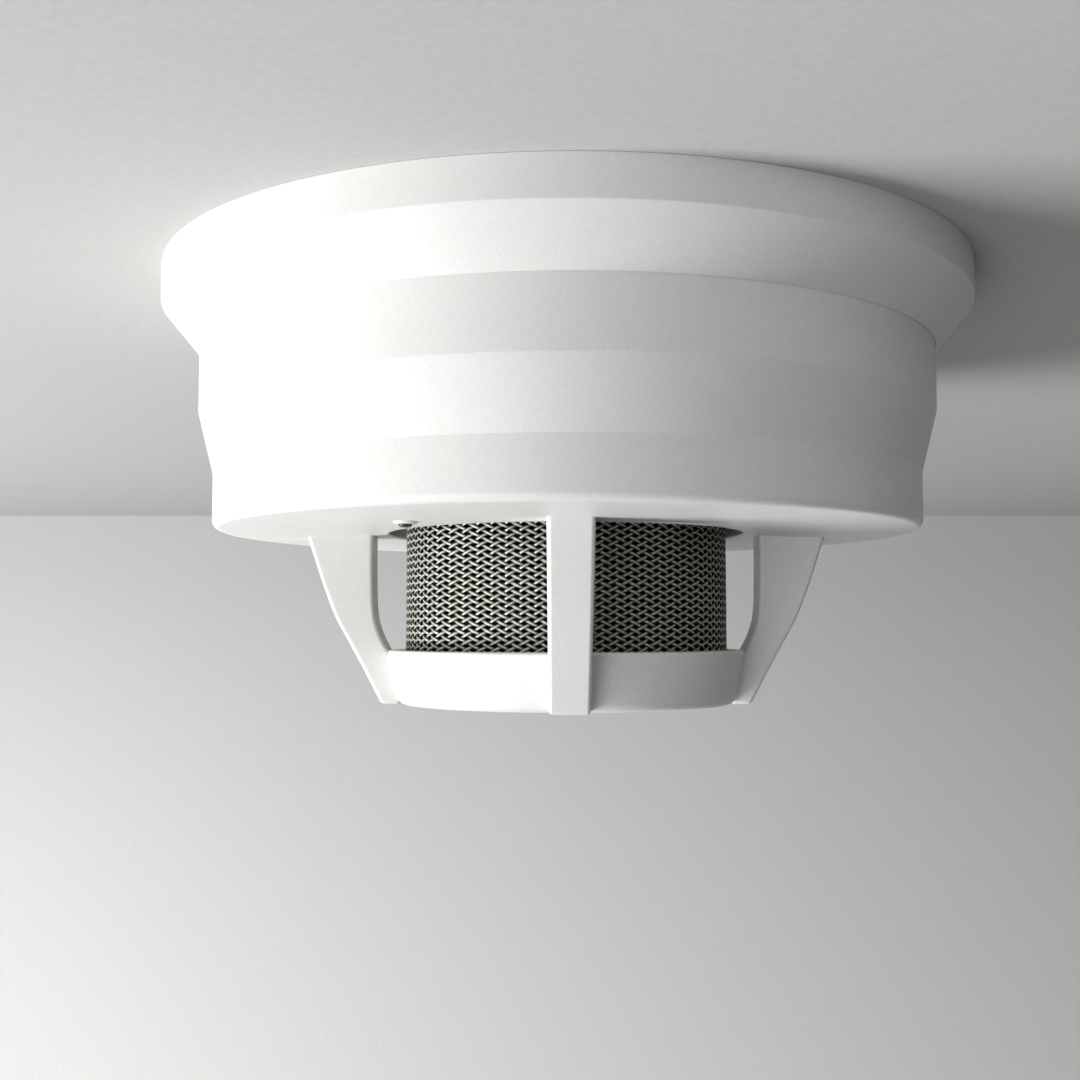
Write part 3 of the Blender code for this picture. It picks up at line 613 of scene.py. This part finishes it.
def woven_screen():
    """Two families of opposed helical wires, each passing over and under the other."""
    chord = MID_R * math.sqrt(2.0)           # of a quarter of the tube
    pitch = chord / WIRES                    # across, between wires of one family
    cross = pitch / 2 * WIRE_SLOPE           # height between crossings on one wire
    count = int(math.ceil((SCREEN_TOP - SCREEN_LOW) / cross * CROSSING_STEPS)) + 1
    z = np.linspace(SCREEN_TOP, SCREEN_LOW, count)
    drop = SCREEN_TOP - z
    sides = WIRE_SIDES
    verts, faces, painted_crown_lights = [], [], []
    for family in (1, -1):
        for wire in range(4 * WIRES):
            # the cloth is drawn tightest at the four quarters, so it runs evenly
            # across each chord and opens a little between them
            along = wire * pitch + family * drop / WIRE_SLOPE
            quarter = np.floor(along / chord)
            angle = (quarter * math.pi / 2
                     + np.arcsin((along - (quarter + 0.5) * chord) / MID_R))
            # crossings happen each half pitch; alternate over and under
            wave = np.cos(drop / cross * math.pi)
            over = family * wave / np.sqrt(wave * wave + 0.25) * 1.118
            r = MID_R + over * (WIRE_T + 0.004)
            path = np.stack([r * np.cos(angle), r * np.sin(angle), z], 1)
            tangent = np.gradient(path, axis=0)
            tangent /= np.linalg.norm(tangent, axis=1)[:, None]
            radial = np.stack([np.cos(angle), np.sin(angle), np.zeros_like(angle)], 1)
            side = np.cross(tangent, radial)
            side /= np.linalg.norm(side, axis=1)[:, None]
            up = np.cross(side, tangent)
            first = len(verts)
            for k in range(count):
                for s in range(sides):
                    a = 2 * math.pi * s / sides
                    verts.append((path[k] + WIRE_T * math.cos(a) * up[k]
                                  + WIRE_R * math.sin(a) * side[k]) * MM)
                    # painted light: a weight for a painted highlight on each wire's outward
                    # face, strongest where it passes over; low weights get painted shade
                    lift = min(max((over[k] + 1.0) / 0.8, 0.0), 1.0)
                    outward = min(max((math.cos(a) - 0.58) / 0.36, 0.0), 1.0)
                    painted_crown_lights.append((0.3 + 0.7 * lift) * outward)
            for k in range(count - 1):
                for s in range(sides):
                    a = first + k * sides + s
                    b = first + k * sides + (s + 1) % sides
                    faces.append((a, b, b + sides, a + sides))
            faces.append(tuple(first + s for s in reversed(range(sides))))
            faces.append(tuple(first + (count - 1) * sides + s for s in range(sides)))
    mesh = bpy.data.meshes.new("woven_screen")
    mesh.from_pydata([tuple(v) for v in verts], [], faces)
    painted_crown_light = mesh.attributes.new("painted_crown_light", "FLOAT", "POINT")
    painted_crown_light.data.foreach_set("value", np.array(painted_crown_lights, np.float32))
    bm = bmesh.new()
    bm.from_mesh(mesh)
    bmesh.ops.recalc_face_normals(bm, faces=bm.faces)
    bm.to_mesh(mesh)
    bm.free()
    mesh.shade_smooth()
    return new_object("woven_screen", mesh)


finish(woven_screen(), WIRE, "head", "screen_wire", "insect_screen")

# ========================================================== chamber labyrinth
VANES = 20
VANE_OUTLINE = [(12.3, -2.5), (15.7, 1.3), (18.5, -1.9), (19.0, -2.9), (19.05, 0.3),
                (15.7, 2.7), (12.3, -1.1)]      # (x, y) seen along z
labyrinth = turned("labyrinth_moulding", [
    (0.0, -46.0), (18.6, -46.0, 0.2), (19.2, -46.6, 0.3), (19.2, -48.4, 0.3),
    (0.0, -48.4)], closed=False)
join(labyrinth, *[slab("vane", VANE_OUTLINE, 7.5, spin(360.0 / VANES * k) @ shift(z=-38.9),
                       0.12, 2) for k in range(VANES)])
finish(smooth(labyrinth, 40), BLACK, "head", "chamber_black", "chamber_labyrinth")
drop_tmp()

# ================================================================== seal ring
seal = turned("seal_ring_foam", [(41.0, -2.8, 0.35), (43.4, -2.8, 0.35),
                                 (43.4, -5.7, 0.35), (41.0, -5.7, 0.35)])
finish(smooth(seal, 50), FOAM, "seal", "seal_foam", "seal_ring")

# ==================================================================== chassis
chassis = turned("chassis_moulding", [
    (0.0, -9.6), (12.0, -9.6, 0.3), (12.6, -10.5, 0.3), (HEAD_R, -10.5, 0.5),
    (HEAD_R, -6.0, 0.25), (43.2, -6.0, 0.25), (43.2, -12.5, 0.25), (0.0, -12.5)],
    closed=False)
standoffs = [rod("standoff", 3.0, -11.6, -15.2, polar(BOARD_SCREW_R, d))
             for d in BOARD_SCREWS]
# The z limits of these boxes are swapped, which turns them inside out for the union.
stiffeners = [box("stiffener", (12.0, -0.4, -10.15), (36.0, 0.4, -11.2), d + off)
              for d in TERMINALS for off in (-30.0, 30.0)]
stiffeners += [box("stiffener", (13.5, -0.45, -11.2), (38.0, 0.45, -10.1),
                   22.5 + 45.0 * k, 0.12) for k in range(8)]
join(chassis, *standoffs, *stiffeners)
cut(chassis,
    *[box("notch", (41.85, -1.9, -13.0), (44.0, 1.9, -9.3), d) for d in QUARTERS],
    *[box("pin_slot", (38.95, -1.35, -13.5), (40.45, 1.35, -9.5), d) for d in TERMINALS],
    *[rod("hole", 1.35, -11.1, -16.0, polar(BOARD_SCREW_R, d), 24) for d in BOARD_SCREWS])
finish(smooth(chassis, weighted=True), CHASSIS, "head", "chassis_abs", "chassis")
drop_tmp()

# ============================================ screen ring, chamber, light pipe
ring = turned("screen_ring_moulding", [(20.5, -24.2, 0.2), (21.9, -24.2, 0.3),
                                       (21.9, -27.6, 0.3), (20.5, -27.6, 0.2)], 160)
finish(smooth(ring, 50), BLACK, "head", "chamber_black", "screen_ring")

cup = turned("chamber_cup", [
    (17.6, -17.4), (19.2, -17.4, 0.2), (19.2, -30.9, 0.4), (9.0, -30.9, 0.3),
    (9.0, -29.4, 0.3), (17.6, -29.4, 0.5)], 160)
finish(smooth(cup, 50), BLACK, "head", "chamber_black", "chamber_base")

pipe = turned("light_pipe_moulding", [
    (0.0, -19.9), (1.6, -19.9, 0.1), (1.6, -27.6, 0.1), (0.75, -28.3, 0.1),
    (0.75, -32.37, 0.45), (0.0, -32.37)], 48, False, INDICATOR_XY, steps=8)
finish(smooth(pipe, 50), PIPE, "head", "light_pipe", "light_pipe")


# ===================================================================== screws
def thread(r, root, top, low, turns):
    """Profile points of a thread, drawn as rings."""
    step = (top - low) / turns
    out = []
    for k in range(turns):
        z = top - k * step
        out += [(r, z), (root, z - step * 0.45), (r, z - step * 0.9)]
    return out


def screws(stem, profile, r, recess, degs, body):
    """Cross-recess screws; recess is (half length, half width, bottom, top)."""
    source = turned(stem + "_fine", profile, 56, False, tmp=True, steps=5)
    half, width, low, top = recess
    cut(source, box("recess", (-half, -width, low), (half, width, top)),
        box("recess", (-width, -half, low), (width, half, top)))
    smooth(source, 38)
    for k, d in enumerate(degs, 1):
        finish(placed(source, "%s_fine_%d" % (stem, k), around(r, d)), ZINC, body,
               "zinc_steel", "%s_%d" % (stem, k))
    drop_tmp()


screws("terminal_screw", [(0.0, -1.2), (1.05, -1.2, 0.1), (1.35, -1.55, 0.05)]
       + thread(1.4, 1.15, -1.7, -6.4, 8)
       + [(1.4, -6.6), (1.4, -7.3), (3.2, -7.3, 0.12), (3.2, -8.5, 0.5), (2.35, -9.28, 0.9),
          (0.0, -9.4)], TERMINAL_R, (1.7, 0.33, -10.0, -8.4), TERMINALS, "base")
screws("board_screw", [(0.0, -11.5), (0.5, -11.5, 0.1), (0.95, -12.1, 0.05)]
       + thread(1.0, 0.78, -12.2, -16.6, 9)
       + [(1.0, -16.8), (1.0, -17.4), (2.6, -17.4, 0.1), (2.6, -18.4, 0.45),
          (1.8, -19.18, 0.8), (0.0, -19.3)],
       BOARD_SCREW_R, (1.35, 0.28, -20.0, -18.4), BOARD_SCREWS, "head")

# ================================================= terminal clamps and blades
clamp = box("clamp_fine", (23.1, -3.4, -7.0), (29.9, 3.4, -6.2), 0.0, 0.16, 3)
cut(clamp, rod("hole", 1.75, -5.9, -7.3, (TERMINAL_R, 0.0), 48),
    *[box("groove", (23.0, y - 0.12, -6.32), (30.0, y + 0.12, -6.1))
      for y in (-2.9, -2.3, 2.3, 2.9)])
smooth(clamp, 38)
for k, d in enumerate(TERMINALS, 1):
    finish(placed(clamp, "terminal_clamp_fine_%d" % k, spin(d)), ZINC, "base", "zinc_steel",
           "terminal_clamp_%d" % k)
drop_tmp()

BLADE_OUTLINE = [(31.5, -6.5), (31.5, -7.3), (39.3, -7.3), (39.3, -10.2),
                 (40.1, -10.2), (40.1, -6.5)]       # (radius, z)
blade = slab("blade_fine", BLADE_OUTLINE, 2.5, UPRIGHT, 0.14, 3)
join(blade, box("pin", (39.42, -0.98, -17.88), (39.98, 0.98, -9.6), 0.0, 0.12))
smooth(blade, 38)
for k, d in enumerate(TERMINALS, 1):
    finish(placed(blade, "contact_blade_fine_%d" % k, spin(d)), BRASS, "head",
           "contact_brass", "contact_blade_%d" % k)
drop_tmp()

# ============================================================== circuit board
board = turned("board_fine", [(0.0, BOARD_TOP), (HEAD_R, BOARD_TOP, 0.05),
                              (HEAD_R, BOARD_FACE, 0.05), (0.0, BOARD_FACE)], closed=False)
cut(board,
    *[box("pin_slot", (39.0, -1.35, -18.0), (40.4, 1.35, -14.5), d) for d in TERMINALS],
    *[rod("hole", 1.5, -14.5, -18.0, polar(BOARD_SCREW_R, d)) for d in BOARD_SCREWS])
finish(smooth(board, 40), BOARD, "head", "board", "circuit_board")
drop_tmp()


# ====================================================== packages on the board
def package(name, at, size, top, low, edge, seg=3):
    """A rounded box of (radial, tangential) size at (radius, degrees)."""
    r, deg = at
    x, y = size
    return box(name, (r - x / 2, -y / 2, low), (r + x / 2, y / 2, top), deg, edge, seg,
               tmp=False)


def leads(name, at, half, reach, count, pitch, width, sides):
    """Gull-wing leads along the given sides of a package, half from its centre."""
    out = []
    for side in sides:
        for k in range(count):
            off = (k - (count - 1) / 2) * pitch
            # foot, knee and upright: (near, far, low, top), z from the board
            for near, far, low, top in ((half + 0.25, half + reach, 0.16, 0.03),
                                        (half - 0.1, half + 0.32, 0.62, 0.5),
                                        (half + 0.22, half + 0.34, 0.62, 0.03)):
                out.append(box("lead", (off - width / 2, near, BOARD_FACE - low),
                               (off + width / 2, far, BOARD_FACE - top), side, 0.03, 1))
    ob = merge(name, out)
    ob.data.transform(around(*at))
    finish(smooth(ob, 40), TIN, "head", "shield_tin")


def straight_leads(name, r, seg, low, places, deg):
    """Round leads up to the board, at (x, y) places turned by deg."""
    ob = merge(name, [rod("lead", r, LEAD_TOP, low, at, seg) for at in places])
    ob.data.transform(spin(deg))
    finish(smooth(ob, 40), TIN, "head", "shield_tin")


controller = package("microcontroller_fine", CONTROLLER_AT, (7.0, 7.0), -17.3, -18.5, 0.16)
dot = rod("dot", 0.42, -18.38, -18.8, seg=32)
dot.data.transform(spin(CONTROLLER_AT[1]) @ shift(28.1, -2.4))
cut(controller, dot)
finish(smooth(controller, 38), RESIN, "head", "chip_resin", "microcontroller")
leads("microcontroller_leads", CONTROLLER_AT, half=3.5, reach=0.95, count=11, pitch=0.55,
      width=0.26, sides=QUARTERS)
drop_tmp()

can = package("shield_can_fine", CAN_AT, (11.0, 9.0), -17.15, -20.6, 0.45, 4)
vents = []
for a in range(-1, 2):
    for b in range(-1, 2):
        vent = rod("vent", 0.5, -20.35, -21.0, seg=24)
        vent.data.transform(spin(CAN_AT[1]) @ shift(CAN_AT[0] + 2.6 * a, 2.2 * b))
        vents.append(vent)
cut(can, *vents)
finish(smooth(can, 38), TIN, "head", "shield_tin", "shield_can")
drop_tmp()

bridge = package("bridge_fine", BRIDGE_AT, (5.0, 6.5), -17.3, -19.7, 0.22)
cut(bridge, box("bar", (28.4, 2.5, -19.62), (33.6, 2.75, -19.9), BRIDGE_AT[1]))
finish(smooth(bridge, 38), RESIN, "head", "chip_resin", "bridge_rectifier")
leads("bridge_leads", BRIDGE_AT, half=3.25, reach=1.0, count=2, pitch=2.5, width=0.7,
      sides=(90.0, 270.0))
drop_tmp()

choke = package("choke_fine", CHOKE_AT, (6.5, 6.5), -17.2, -20.4, 0.7, 5)
cut(choke, rod("well", 2.5, -20.15, -21.0, polar(*CHOKE_AT), 56))
join(choke, rod("core", 1.7, -20.0, -20.38, polar(*CHOKE_AT), 56))
finish(smooth(choke, 38), RESIN, "head", "chip_resin", "choke")
drop_tmp()


# ======================================================= capacitors, varistor
def capacitor(name, at, r, height):
    """An aluminium can with a crimp groove and a cross scored in its end."""
    top = -17.4
    low = top - height
    x, y = polar(*at)
    ob = turned(name + "_fine", [
        (0.0, top), (r - 0.15, top, 0.1), (r, top - 0.2, 0.1), (r, top - 1.3, 0.15),
        (r - 0.28, top - 1.65, 0.25), (r, top - 2.0, 0.15), (r, low, 0.45),
        (r - 0.7, low, 0.08), (r - 0.85, low + 0.12, 0.08), (0.0, low + 0.12)],
        96, False, (x, y), steps=6)
    scores = [box("score", (-r * 0.62, -0.11, low), (r * 0.62, 0.11, low + 0.22), d)
              for d in (20.0, 110.0)]
    for score in scores:
        score.data.transform(shift(x, y))
    cut(ob, *scores)
    finish(smooth(ob, 38), ALUMINIUM, "head", "can_aluminium", name)
    drop_tmp()
    bung = rod(name + "_bung", r - 0.5, LEAD_TOP, -17.38, (x, y), 48, False)
    finish(smooth(bung, 40), RESIN, "head", "chip_resin")


capacitor("capacitor_1", CAPACITOR_1_AT, r=4.0, height=9.0)
capacitor("capacitor_2", CAPACITOR_2_AT, r=3.15, height=6.5)

# The disc is turned about z, then stood on edge.
varistor = turned("varistor_fine", [
    (0.0, 1.9), (2.7, 1.85, 1.2), (3.6, 1.0, 0.7), (3.6, -1.0, 0.7), (2.7, -1.85, 1.2),
    (0.0, -1.9)], 80, False, steps=6)
varistor.data.transform(shift(z=-21.5) @ UPRIGHT)
varistor.data.transform(around(*VARISTOR_AT))
finish(smooth(varistor, 45), LACQUER, "head", "varistor_lacquer", "varistor")
straight_leads("varistor_leads", 0.3, 20, -19.0,
               [(VARISTOR_AT[0] + off, 0.0) for off in (-1.6, 1.6)], VARISTOR_AT[1])
drop_tmp()

# ======================================================= indicator and diodes
lamp = turned("alarm_led_fine", [
    (0.0, -17.15), (1.7, -17.15, 0.08), (1.7, -18.0, 0.12), (1.45, -18.0, 0.05),
    (1.45, -19.58, 1.1), (0.0, -19.58)], 56, False, INDICATOR_XY, steps=8)
finish(smooth(lamp, 45), RED, "head", "led_red", "alarm_led")

DIODE_PROFILE = [(0.0, 3.2), (2.85, 3.2, 0.15), (2.85, 2.2, 0.15), (2.45, 2.2, 0.05),
                 (2.45, -4.05, 2.3), (0.0, -4.05)]
DIODE_TILT = Matrix.Rotation(math.radians(40.0), 4, "Y")    # domes tip toward the axis
for name, deg, mat, slot in (("infrared_led", 60.0, LENS, "diode_lens"),
                             ("photodiode", 200.0, PHOTO, "photodiode_black")):
    diode = turned(name + "_fine", DIODE_PROFILE, 64, False, steps=10)
    diode.data.transform(spin(deg) @ shift(12.4, 0.0, -22.9) @ DIODE_TILT)
    finish(smooth(diode, 45), mat, "head", slot, name)
    straight_leads(name + "_leads", 0.25, 16, -20.0, [(13.9, -1.0), (13.9, 1.0)], deg)
    drop_tmp()

# ================================== surface-mounted chips, in rings on the board
CHIP_RINGS = ((24.6, 26, 4.0), (27.9, 30, 8.0), (35.3, 34, 2.0),
              (38.2, 38, 6.0))                              # (radius, count, first angle)
CHIP_SIZES = ((1.6, 0.8, 0.5), (2.0, 1.2, 0.65), (1.0, 0.55, 0.4))  # (length, width, height)
CHIP_MATS = (RESIN, CERAMIC, RESIN)
# Places kept clear: ((radius, degrees), clearance)
KEEP_OUT = [(CONTROLLER_AT, 6.5), (CAN_AT, 8.2), (BRIDGE_AT, 5.8), (CHOKE_AT, 5.8),
            (CAPACITOR_1_AT, 5.4), (CAPACITOR_2_AT, 4.5), (VARISTOR_AT, 5.2),
            (INDICATOR_AT, 3.4)]
KEEP_OUT += [((BOARD_SCREW_R, d), 4.4) for d in BOARD_SCREWS]
KEEP_OUT += [((39.7, d), 3.2) for d in TERMINALS]


def blocked(x, y):
    return any(math.hypot(x - polar(*at)[0], y - polar(*at)[1]) < clearance
               for at, clearance in KEEP_OUT)


chip_bodies, chip_ends = ([], [], []), []
spots = [(r, first + 360.0 * k / count) for r, count, first in CHIP_RINGS
         for k in range(count)]
for index, (r, deg) in enumerate(spots):
    x, y = polar(r, deg)
    if index % 7 == 3 or blocked(x, y):
        continue
    kind = index % 3
    turn = round(deg / 45.0) * 45.0 + (90.0 if kind else 0.0)
    length, width, height = CHIP_SIZES[kind]
    at = shift(x, y) @ spin(turn)
    middle = box("chip", (-length * 0.3, -width / 2, BOARD_FACE - height),
                 (length * 0.3, width / 2, BOARD_FACE - 0.03), 0.0, 0.03, 1)
    middle.data.transform(at)
    chip_bodies[kind].append(middle)
    for sign in (-1, 1):
        lo, hi = sorted((sign * length * 0.3, sign * length / 2))
        end = box("end", (lo, -width / 2 - 0.01, BOARD_FACE - height - 0.015),
                  (hi, width / 2 + 0.01, BOARD_FACE - 0.02), 0.0, 0.05, 1)
        end.data.transform(at)
        chip_ends.append(end)
for kind, mat in enumerate(CHIP_MATS):
    finish(smooth(merge("smd_bodies_%d" % kind, chip_bodies[kind]), 40), mat, "head",
           "chip_resin")
finish(smooth(merge("smd_ends", chip_ends), 40), TIN, "head", "shield_tin")
drop_tmp()

# ================================================= CAD clips, kept as they are
for name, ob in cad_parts.items():
    if name == "contact_clip" or name.startswith("contact_clip_"):
        ob.data.materials.clear()
        ob.data.materials.append(SPRING)

# =========================================================== stage, in metres
STAGE_COLOUR = (0.552, 0.549, 0.544)
# painted light: the wall is painted paler towards its bottom, where the key light falls on it
WALL_PAINTED_LIGHT_COLOUR = (0.73, 0.727, 0.72)
WALL_PAINTED_LIGHT_HEIGHTS = (-0.02, -0.24)      # heights between which painted light makes the wall grow paler
CEILING_Z = 0.00002             # just clear of the base
FLOOR_Z = -1.3
WALL_Y = 0.33
CEILING_Y = -1.4                # the ceiling's near edge
HALF_WIDTH = 1.6                # of the ceiling and the wall
FLOOR_HALF = 2.5


def stage_mat(name, one_sided=False, paints_light=False):
    """A matt surface; one-sided sheets are clear from behind, and the wall can be painted paler
    towards its bottom as painted light.
    """
    mat, tree, bsdf = new_mat(name)
    vec = coord(tree)
    if paints_light:
        # painted light: paler towards the bottom
        height = add_node(tree, "SeparateXYZ", {"Vector": coord(tree)}).outputs["Z"]
        shade = ramp(tree, remap(tree, height, (0.0, 1.0), WALL_PAINTED_LIGHT_HEIGHTS),
                     [(0.0, STAGE_COLOUR), (1.0, WALL_PAINTED_LIGHT_COLOUR)])
    else:
        shade = ramp(tree, noise(tree, vec, 6.0),
                     [(0.3, tuple(c * 0.97 for c in STAGE_COLOUR)), (0.7, STAGE_COLOUR)])
    feed(tree, bsdf, {"Base Color": speckle(tree, shade, vec, scale=1000.0, amount=0.025),
                      "Roughness": 0.9, "Specular IOR Level": 0.1})
    if one_sided:
        facing = add_node(tree, "NewGeometry", {}).outputs["Backfacing"]
        clear = add_node(tree, "BsdfTransparent", {}).outputs["BSDF"]
        both = add_node(tree, "MixShader", {"Fac": facing, 1: bsdf.outputs["BSDF"],
                                            2: clear})
        feed(tree, tree.nodes["Material Output"], {"Surface": both.outputs["Shader"]})
    return mat


def sheet(name, corners, mat):
    mesh = bpy.data.meshes.new(name)
    mesh.from_pydata(corners, [], [tuple(range(len(corners)))])
    ob = new_object(name, mesh)
    ob.data.materials.append(mat)


WALL = stage_mat("pale_wall", one_sided=True, paints_light=True)
FLOOR = stage_mat("pale_stage")
CEILING = stage_mat("pale_ceiling", one_sided=True)
sheet("stage_ceiling", [(-HALF_WIDTH, CEILING_Y, CEILING_Z), (-HALF_WIDTH, WALL_Y, CEILING_Z),
                        (HALF_WIDTH, WALL_Y, CEILING_Z), (HALF_WIDTH, CEILING_Y, CEILING_Z)],
      CEILING)
sheet("stage_wall", [(-HALF_WIDTH, WALL_Y, CEILING_Z), (-HALF_WIDTH, WALL_Y, FLOOR_Z),
                     (HALF_WIDTH, WALL_Y, FLOOR_Z), (HALF_WIDTH, WALL_Y, CEILING_Z)], WALL)
sheet("stage_floor", [(x * FLOOR_HALF, y * FLOOR_HALF, FLOOR_Z)
                      for x, y in ((-1, -1), (1, -1), (1, 1), (-1, 1))], FLOOR)


# ========================================================== lights, in metres
def area(name, loc, size, power, aim=(0.0, 0.0, -0.03), colour=(1, 1, 1)):
    light = bpy.data.lights.new(name, "AREA")
    light.shape = "RECTANGLE"
    light.size, light.size_y = size
    light.energy = power
    light.color = colour
    ob = new_object(name, light)
    ob.location = loc
    ob.rotation_euler = (Vector(aim) - Vector(loc)).to_track_quat("-Z", "Y").to_euler()


area("key", loc=(-0.47, -0.10, -0.28), size=(0.24, 0.20), power=3.6, colour=(1.0, 0.997, 0.99))
area("fill", loc=(-0.45, -0.80, -0.52), size=(0.6, 0.5), power=1.6)
area("front", loc=(-0.46, -0.78, -0.12), size=(0.5, 0.5), power=2.0)
area("bounce", loc=(-0.40, 0.02, -0.80), size=(0.6, 0.6), power=0.25, aim=(0.0, 0.05, -0.05))

world = bpy.data.worlds.new("studio")
bpy.context.scene.world = world
world.use_nodes = True
feed(world.node_tree, world.node_tree.nodes["Background"],
     {"Color": (0.92, 0.92, 0.91, 1.0), "Strength": 0.106})

# ========================================================== camera, in metres
CAMERA_YAW = 0.12
CAMERA_PITCH = 93.908           # 90 is level; more looks up
CAMERA_AT = (-0.00328, -0.16487, -0.04318)      # before the yaw
cam_data = bpy.data.cameras.new("camera")
cam_data.sensor_width = 36.0
cam_data.lens = 43.286
cam_data.clip_start = 0.01
cam_data.clip_end = 20.0
cam = new_object("camera", cam_data)
cam.matrix_world = (spin(CAMERA_YAW) @ Matrix.Translation(CAMERA_AT)
                    @ Matrix.Rotation(math.radians(CAMERA_PITCH), 4, "X"))
bpy.context.scene.camera = cam
bpy.context.scene.view_settings.view_transform = "Standard"
